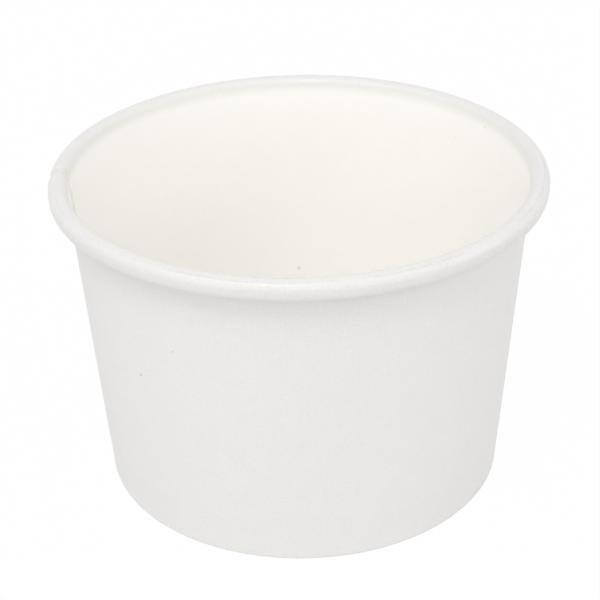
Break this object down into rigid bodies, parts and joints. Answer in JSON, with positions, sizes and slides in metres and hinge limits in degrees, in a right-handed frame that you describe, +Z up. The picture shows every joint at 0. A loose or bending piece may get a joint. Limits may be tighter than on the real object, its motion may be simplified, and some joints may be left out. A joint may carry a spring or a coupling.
{
  "type": "paper sundae cup",
  "caption": "Small round white paper cup for ice cream, with a rolled rim, a lapped side seam and a raised bottom disc sealed into a folded foot.",
  "frame": {"origin": "middle of the foot, on the surface that the cup stands on", "axes": "+Z up the cup's axis, towards the open rim; +X and +Y level, with the side seam close to -X"},
  "size_m": [0.09, 0.09, 0.06],
  "materials": {
    "wall_board": "satin, coated on the food side",
    "base_board": "satin, coated on the food side"
  },
  "bodies": {
    "root": {"side_wall": "wall_board", "bottom_disc": "base_board"}
  },
  "joints": []
}
